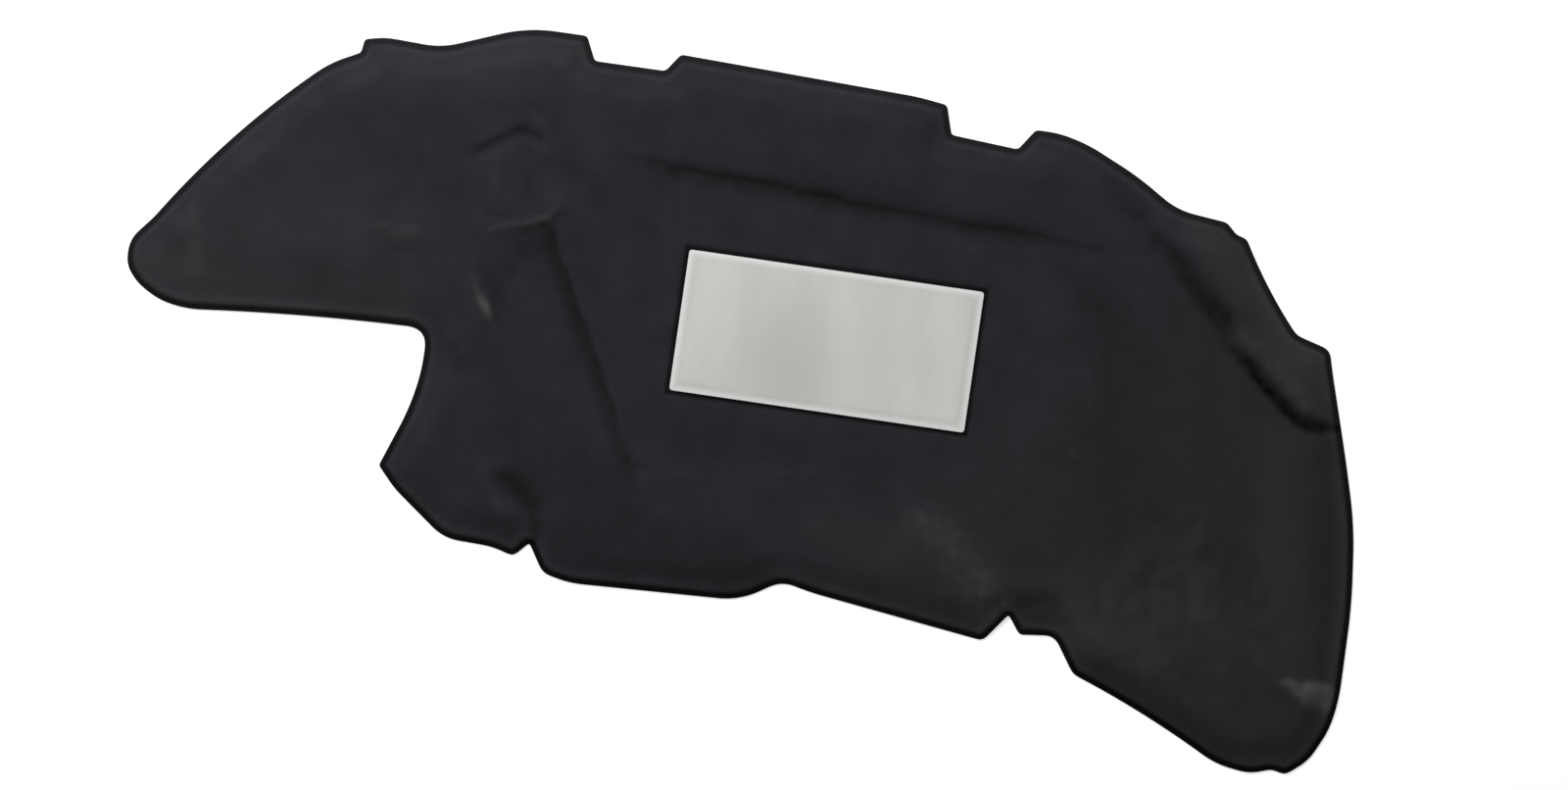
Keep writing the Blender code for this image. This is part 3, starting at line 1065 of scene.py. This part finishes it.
def felt_relief(points, off_edge):
    """What the felt adds to the draped face, and its tone from dark to pale, which holds pressed and
    rubbed fibres and painted shade, shadow and highlights.
    """
    from_patch = points - PATCH_CENTRE_XY
    beside_patch = off_patch(from_patch)
    pressed, tone = pressed_lines(from_patch)
    wavy, lump_light_and_shade = felt_waves(from_patch)
    # Painted light and shade on the lumps
    tone += lump_light_and_shade
    added = pressed * smooth(off_edge / PRESS_FADE) + wavy * smooth(off_edge / WAVE_FADE)
    added *= smooth(beside_patch / PATCH_FADE)

    moat = smooth(MOAT_STEEPNESS * (1 - beside_patch / MOAT_REACH)) * (beside_patch > 0)
    bead = smooth(1 - np.abs(off_edge - BEAD_INSET) / BEAD_REACH)
    roll = smooth(ROLL_SHADE_STEEPNESS * (1 - off_edge / ROLL_SHADE))
    added += BEAD_HEIGHT * bead - MOAT_DEPTH * moat
    # Painted highlight along the bead, stronger at the rear
    tone += rear_to_front(points, BEAD_HIGHLIGHT_REAR, BEAD_HIGHLIGHT_FRONT) * bead
    # Pressed fibres and painted shade along the rolled edge, darker at the front that faces away from
    # the key lamp
    roll_press_and_shade = rear_to_front(points, ROLL_PRESS_AND_SHADE_REAR, ROLL_PRESS_AND_SHADE_FRONT)
    # Painted shadow round the patch and the rolled edge's painted shade go over the other tones
    return added, np.minimum(tone, 1 - moat - roll) + MOAT_PAINTED_SHADOW * moat + roll_press_and_shade * roll


def roll_drop(off_edge):
    """How far the edge's roll falls below the rim."""
    return ROLL_HEIGHT * np.clip(1 - off_edge / ROLL_WIDTH, 0, 1) ** ROLL_CURVE


# Meshes


def finished_mesh(shape, name):
    """The bmesh as a smooth mesh with its faces turned outwards."""
    bmesh.ops.recalc_face_normals(shape, faces=shape.faces)
    mesh = bpy.data.meshes.new(name)
    shape.to_mesh(mesh)
    shape.free()
    mesh.shade_smooth()
    return mesh


def mark_points(mesh, name, values):
    """Gives each point of the mesh a value, which its material reads by this name."""
    mesh.attributes.new(name, "FLOAT", "POINT").data.foreach_set("value", np.array(values, np.float32))


# Felt mat


def moat_row(margin):
    """Points round the patch, this far outside its edges."""
    corners = (np.array(PATCH_HALF.xy) + margin) * CORNERS
    sides = []
    for start, end in zip(corners, np.roll(corners, -1, axis=0)):
        count = round(np.linalg.norm(end - start) / EDGE_STEP)
        share = np.arange(count)[:, None] / count
        sides.append(start + (end - start) * share)
    return np.vstack(sides) + PATCH_CENTRE_XY


def face_filling(outline):
    """The points of the face inside its outline: rows round the patch and along the rim, then a grid."""
    rows = [moat_row(margin) for margin in MOAT_ROWS]
    for inset in ROLL_ROWS:
        row = inset_loop(outline, inset)
        rows.append(row[off_loop(row, outline) > ROW_LEAST_SHARE * inset])
    grid = filling_grid(outline, FACE_STEP)
    beside_patch = off_patch(grid - PATCH_CENTRE_XY)
    apart = FACE_CLEAR_SHARE * FACE_STEP
    clear = (beside_patch > MOAT_ROWS[-1] + apart) | (beside_patch < MOAT_ROWS[0] - apart)
    clear &= off_loop(grid, outline) > ROLL_ROWS[-1] + apart
    return np.vstack(rows + [grid[clear]])


def back_filling(outline):
    """The points of the back inside its outline."""
    grid = filling_grid(outline, BACK_STEP)
    return grid[off_loop(grid, outline) > BACK_CLEAR_SHARE * BACK_STEP]


def felt_face(tree, outline):
    """The points of the face with their tones, and the triangles between them.

    The outline's points come first. They take the height that the frame's face has a roll's width
    further in, less the roll's drop.
    """
    spots, triangles = triangulate(outline, face_filling(outline))
    on_edge = np.arange(len(spots)) < len(outline)
    under = spots.copy()
    under[on_edge] = inset_loop(outline, ROLL_WIDTH)
    heights = average(drape(tree, under), triangles, on_edge, DRAPE_ROUNDS)
    off_edge = np.where(on_edge, 0, off_loop(spots, outline))
    added, tones = felt_relief(spots, off_edge)
    heights = average(heights + added, triangles, on_edge, RELIEF_ROUNDS) - roll_drop(off_edge)
    heights = np.where(on_edge, heights, np.maximum(heights, LEAST_THICK))
    return np.column_stack([spots, heights]), tones, triangles


def build_mat():
    """The mat as one closed mesh: felt face with a rolled edge, low foot and flat back."""
    shape = merged_copy(MAT_NODE)
    outline = spline_loop(back_outline(shape), EDGE_STEP)
    count = len(outline)
    places, tones, triangles = felt_face(BVHTree.FromBMesh(shape), outline)
    shape.free()
    back_spots, back_triangles = triangulate(inset_loop(outline, FOOT_ROUND), back_filling(outline))

    mat = bmesh.new()
    face = [mat.verts.new(place) for place in places]
    foot = [mat.verts.new((x, y, FOOT_ROUND)) for x, y in outline]
    back = [mat.verts.new((x, y, 0)) for x, y in back_spots]
    for first, second, third in triangles:
        mat.faces.new((face[first], face[second], face[third]))
    for first, second, third in back_triangles:
        mat.faces.new((back[third], back[second], back[first]))
    for lower, upper in ((back, foot), (foot, face)):
        for here in range(count):
            ahead = (here + 1) % count
            mat.faces.new((lower[here], lower[ahead], upper[ahead], upper[here]))

    mesh = finished_mesh(mat, "felt_mat")
    mark_points(mesh, "tone", np.concatenate([tones, tones[:count], np.zeros(len(back))]))
    return mesh


# Foil patch


def round_corner(vertex):
    """Draws a point near a corner of the foil in, so that the corner is round."""
    straight_x = PATCH_HALF.x - FOIL_CORNER
    straight_y = PATCH_HALF.y - FOIL_CORNER
    past_x = abs(vertex.co.x) - straight_x
    past_y = abs(vertex.co.y) - straight_y
    if min(past_x, past_y) > 0:
        drawn = max(past_x, past_y) / math.hypot(past_x, past_y)
        vertex.co.x = math.copysign(straight_x + past_x * drawn, vertex.co.x)
        vertex.co.y = math.copysign(straight_y + past_y * drawn, vertex.co.y)


def foil_inset(x, y):
    """How far inside the foil's edges a place is. Its x and y are from the foil's middle."""
    return min(PATCH_HALF.x - abs(x), PATCH_HALF.y - abs(y))


def foil_height(x, y):
    """Height of the foil's face: a border a step down, a lower edge, and slight waves inside."""
    inset = foil_inset(x, y)
    border = 1 - smooth((inset - FOIL_BORDER) / FOIL_BORDER_FADE)
    edge = smooth(1 - inset / FOIL_EDGE)
    wave = FOIL_WAVE_HEIGHT * noise.noise(Vector((x, y, FOIL_SEED)) / FOIL_WAVE_LENGTH)
    return PATCH_HIGH.z - FOIL_STEP_DOWN * border - FOIL_EDGE_DROP * edge + wave * (1 - border)


def foil_dark_and_shade(x, y):
    """How far the foil is painted darker there: near its darker middle, or on the line of painted shade
    inside its border.
    """
    away = math.hypot((x - FOIL_DARK_CENTRE[0]) / FOIL_DARK_REACH[0], (y - FOIL_DARK_CENTRE[1]) / FOIL_DARK_REACH[1])
    off_line = abs(foil_inset(x, y) - FOIL_SHADE_LINE_INSET)
    return max(smooth(1 - away), FOIL_SHADE_LINE_SHARE * smooth(1 - off_line / FOIL_SHADE_LINE_REACH))


def foil_rim(x, y):
    """How far a place of the foil belongs to its border, from 0 inside it to 1 on it."""
    return 1 - smooth((foil_inset(x, y) - FOIL_BORDER / 2) / FOIL_BORDER_FADE)


def build_foil():
    """The foil patch: a thin plate with a sealed border, and slight waves."""
    columns = round(2 * PATCH_HALF.x / FOIL_STEP)
    rows = round(2 * PATCH_HALF.y / FOIL_STEP)
    foil = bmesh.new()
    bmesh.ops.create_grid(foil, x_segments=columns, y_segments=rows, size=1)
    bmesh.ops.scale(foil, vec=(PATCH_HALF.x, PATCH_HALF.y, 1), verts=foil.verts)
    for vertex in foil.verts:
        round_corner(vertex)
        vertex.co.z = foil_height(vertex.co.x, vertex.co.y)
    rim = [edge for edge in foil.edges if edge.is_boundary]
    grown = bmesh.ops.extrude_edge_only(foil, edges=rim)["geom"]
    for item in grown:
        if isinstance(item, bmesh.types.BMVert):
            item.co.z = PATCH_LOW.z
    bmesh.ops.contextual_create(foil, geom=[edge for edge in foil.edges if edge.is_boundary])

    mesh = finished_mesh(foil, "foil_patch")
    mesh.set_sharp_from_angle(angle=FOIL_SHARP)
    mark_points(mesh, "border", [foil_rim(vertex.co.x, vertex.co.y) for vertex in mesh.vertices])
    # How far each point is painted darker, the line of painted shade inside the border among it
    mark_points(mesh, "dark_and_shade", [foil_dark_and_shade(vertex.co.x, vertex.co.y) for vertex in mesh.vertices])
    mesh.transform(Matrix.Translation((PATCH_CENTRE.x, PATCH_CENTRE.y, 0)))
    return mesh


# Materials


class Nodes:
    """Adds nodes to a new material and links them."""

    def __init__(self, name):
        self.material = bpy.data.materials.new(name)
        self.material.use_nodes = True
        self.tree = self.material.node_tree
        self.place = self.add("ShaderNodeTexCoord").outputs["Object"]

    def add(self, kind, **settings):
        """A new node with these settings."""
        node = self.tree.nodes.new(kind)
        for name, value in settings.items():
            setattr(node, name, value)
        return node

    def give(self, socket, value):
        """Links the value to the socket if it comes from a node, and otherwise sets it there."""
        if isinstance(value, bpy.types.NodeSocket):
            self.tree.links.new(value, socket)
        elif socket.type == "RGBA":
            socket.default_value = (*value, 1)
        else:
            socket.default_value = value

    def surface(self, values):
        """Gives the sockets of the material's shader their values."""
        for name, value in values.items():
            self.give(self.tree.nodes["Principled BSDF"].inputs[name], value)

    def mark(self, name):
        """The value that each point of the mesh has by this name."""
        return self.add("ShaderNodeAttribute", attribute_name=name).outputs["Fac"]

    def math(self, operation, first, second):
        """What a Math node makes of the two values."""
        node = self.add("ShaderNodeMath", operation=operation)
        self.give(node.inputs[0], first)
        self.give(node.inputs[1], second)
        return node.outputs[0]

    def stretched(self, scale, turn_deg=0):
        """Places turned about Z and then scaled along each axis."""
        node = self.add("ShaderNodeMapping")
        self.give(node.inputs["Vector"], self.place)
        self.give(node.inputs["Rotation"], (0, 0, math.radians(turn_deg)))
        self.give(node.inputs["Scale"], scale)
        return node.outputs["Vector"]

    def noise(self, place, detail, scale=1.0):
        """Noise with this detail and scale, read at the place."""
        node = self.add("ShaderNodeTexNoise")
        self.give(node.inputs["Vector"], place)
        self.give(node.inputs["Scale"], scale)
        self.give(node.inputs["Detail"], detail)
        return node.outputs["Fac"]

    def spread(self, value, taken, onto=(0.0, 1.0)):
        """The range that is taken of the value, laid smoothly onto another range."""
        node = self.add("ShaderNodeMapRange", interpolation_type="SMOOTHSTEP")
        self.give(node.inputs["Value"], value)
        for name, limit in zip(("From Min", "From Max", "To Min", "To Max"), (*taken, *onto)):
            self.give(node.inputs[name], limit)
        return node.outputs["Result"]

    def mix(self, share, first, second):
        """The first colour with this share of the second."""
        node = self.add("ShaderNodeMix", data_type="RGBA")
        self.give(node.inputs["Factor"], share)
        colours = [socket for socket in node.inputs if socket.type == "RGBA"]
        for socket, colour in zip(colours, (first, second)):
            self.give(socket, colour)
        return next(socket for socket in node.outputs if socket.type == "RGBA")

    def bump(self, height, strength_and_distance, normal=None):
        """The surface's normal on this relief, which may lie on another one."""
        strength, distance = strength_and_distance
        node = self.add("ShaderNodeBump")
        self.give(node.inputs["Height"], height)
        self.give(node.inputs["Strength"], strength)
        self.give(node.inputs["Distance"], distance)
        if normal:
            self.give(node.inputs["Normal"], normal)
        return node.outputs["Normal"]


def felt_material():
    """Black needled felt of crossed fibres, clumps and soft mottling, painted dark for pressed fibres
    and painted shade, and pale for rubbed fibres and painted highlights.
    """
    felt = Nodes("black_felt")
    layers = [felt.noise(felt.stretched(FIBRE_SCALE, turn), FIBRE_DETAIL) for turn in FIBRE_TURNS_DEG]
    fibres = felt.math("MAXIMUM", felt.math("MAXIMUM", layers[0], layers[1]), layers[2])
    clumps = felt.noise(felt.place, CLUMP_DETAIL, CLUMP_SCALE)
    mottle = felt.noise(felt.place, MOTTLE_DETAIL, MOTTLE_SCALE)
    axes = felt.add("ShaderNodeSeparateXYZ")
    felt.give(axes.inputs[0], felt.place)
    to_front_right = felt.math("SUBTRACT", axes.outputs["X"], axes.outputs["Y"])
    tone = felt.mark("tone")
    # The tone's pale side is rubbed fibres and painted highlights, its dark side pressed fibres with
    # painted shade and shadow
    rubbed_and_highlight = felt.math("MULTIPLY", felt.math("MAXIMUM", tone, 0.0), FELT_RUBBED_AND_HIGHLIGHT_SHARE)
    pressed = felt.math("MAXIMUM", felt.math("MULTIPLY", tone, -1.0), 0.0)
    # Painted change in the light's tint, from cool at the rear left to neutral at the front right
    painted_tint = felt.spread(to_front_right, PAINTED_TINT_RANGE, (0.0, PAINTED_TINT_SHARE))

    colour = felt.mix(felt.spread(mottle, MOTTLE_RANGE), FELT_DARK, FELT_LIGHT)
    colour = felt.mix(painted_tint, colour, FELT_PAINTED_TINT)
    colour = felt.mix(felt.spread(fibres, FIBRE_RANGE, (0.0, FIBRE_SHARE)), colour, FELT_FIBRE)
    colour = felt.mix(rubbed_and_highlight, colour, FELT_RUBBED_AND_HIGHLIGHT)
    colour = felt.mix(pressed, colour, FELT_PRESSED_AND_SHADE)
    felt.surface({
        "Base Color": colour,
        "Roughness": felt.spread(clumps, CLUMP_RANGE, FELT_ROUGHNESS),
        "Specular IOR Level": FELT_SPECULAR,
        "Sheen Weight": FELT_SHEEN,
        "Sheen Roughness": FELT_SHEEN_ROUGHNESS,
        "Normal": felt.bump(fibres, FIBRE_BUMP, felt.bump(clumps, CLUMP_BUMP)),
    })
    return felt.material


def foil_material():
    """Dull rolled aluminium foil with a paler border, a darker middle and a line of painted shade inside
    the border.
    """
    foil = Nodes("dull_foil")
    rolled = foil.noise(foil.stretched(ROLLED_SCALE), FOIL_DETAIL)
    streaky = foil.noise(foil.stretched(STREAK_SCALE), FOIL_DETAIL)
    grain = foil.noise(foil.place, FOIL_DETAIL, GRAIN_SCALE)

    colour = foil.mix(foil.spread(streaky, STREAK_RANGE), FOIL_MIDDLE, FOIL_PALE)
    colour = foil.mix(foil.spread(rolled, ROLLED_RANGE, (0.0, ROLLED_SHARE)), colour, FOIL_PALE)
    # The darker middle and the line of painted shade inside the border
    colour = foil.mix(foil.math("MULTIPLY", foil.mark("dark_and_shade"), FOIL_DARK_SHARE), colour, FOIL_DARK)
    colour = foil.mix(foil.mark("border"), colour, FOIL_RIM)
    foil.surface({
        "Base Color": colour,
        "Metallic": FOIL_METALLIC,
        "Roughness": foil.spread(grain, GRAIN_RANGE, FOIL_ROUGHNESS),
        "Normal": foil.bump(grain, GRAIN_BUMP, foil.bump(rolled, ROLLED_BUMP)),
    })
    return foil.material


def rays_that_look(tree):
    """1 for a ray from the camera, off a glossy surface or through glass, and 0 for any other."""
    path = tree.nodes.new("ShaderNodeLightPath")
    looking = path.outputs["Is Camera Ray"]
    for kind in ("Is Glossy Ray", "Is Transmission Ray"):
        either = tree.nodes.new("ShaderNodeMath")
        either.operation = "MAXIMUM"
        tree.links.new(looking, either.inputs[0])
        tree.links.new(path.outputs[kind], either.inputs[1])
        looking = either.outputs[0]
    return looking


def floor_material():
    """Pale floor that looks white to the camera and in reflections, and keeps the shadow."""
    floor = Nodes("pale_floor")
    floor.surface({
        "Base Color": FLOOR_COLOUR,
        "Roughness": FLOOR_ROUGHNESS,
        "Specular IOR Level": FLOOR_SPECULAR,
        "Emission Color": WHITE,
        "Emission Strength": floor.math("MULTIPLY", rays_that_look(floor.tree), FLOOR_LIFT),
    })
    return floor.material


# Pieces


def add_object(name, data):
    """A new object in the scene."""
    made = bpy.data.objects.new(name, data)
    bpy.context.scene.collection.objects.link(made)
    return made


def add_piece(mesh, material, node):
    """A piece that is shown in place of the node."""
    piece = add_object(mesh.name, mesh)
    mesh.materials.append(material)
    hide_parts(node)
    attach(piece, "root")
    return piece


mat = add_piece(build_mat(), felt_material(), MAT_NODE)
add_piece(build_foil(), foil_material(), PATCH_NODE)


# Floor, lamps and camera


def add_floor():
    """A wide square floor under the mat."""
    mesh = bpy.data.meshes.new("floor")
    mesh.from_pydata([(x * FLOOR_HALF, y * FLOOR_HALF, 0) for x, y in CORNERS], [], [(0, 1, 2, 3)])
    mesh.materials.append(floor_material())
    floor = add_object("floor", mesh)
    floor.location.z = -FLOOR_DROP


def add_lamp(name, across, up, height, size, power, colour):
    """A square lamp that looks at the picture's middle. Across and up are on the picture."""
    data = bpy.data.lights.new(name, "AREA")
    data.size = size
    data.energy = power
    data.color = colour
    lamp = add_object(name, data)
    lamp.location = PICTURE_MIDDLE + PICTURE_RIGHT * across + PICTURE_UP * up + Vector((0, 0, height))
    lamp.rotation_euler = (PICTURE_MIDDLE - lamp.location).to_track_quat("-Z", "Y").to_euler()


def set_world(strength):
    """Soft light from all round, which the camera and reflections see as white."""
    world = bpy.data.worlds.new("studio")
    bpy.context.scene.world = world
    world.use_nodes = True
    tree = world.node_tree
    background = tree.nodes["Background"]
    background.inputs["Color"].default_value = (*WHITE, 1)
    level = tree.nodes.new("ShaderNodeMapRange")
    level.inputs["To Min"].default_value = strength
    level.inputs["To Max"].default_value = 1.0
    tree.links.new(rays_that_look(tree), level.inputs["Value"])
    tree.links.new(level.outputs["Result"], background.inputs["Strength"])


def add_camera():
    """A camera straight above the picture's middle."""
    data = bpy.data.cameras.new("camera")
    data.lens = LENS_MM
    data.sensor_width = SENSOR_MM
    data.clip_end = CAMERA_SIGHT
    camera = add_object("camera", data)
    camera.location = PICTURE_MIDDLE + Vector((0, 0, CAMERA_HEIGHT))
    camera.rotation_euler = (0, 0, PICTURE_TURN)
    bpy.context.scene.camera = camera


add_floor()
add_lamp("key", across=-1.4, up=2.4, height=2.0, size=1.0, power=108, colour=(1.0, 0.99, 0.98))
add_lamp("fill", across=1.6, up=-0.6, height=2.8, size=2.0, power=10, colour=WHITE)
set_world(strength=0.26)
add_camera()
bpy.context.scene.view_settings.view_transform = "Standard"
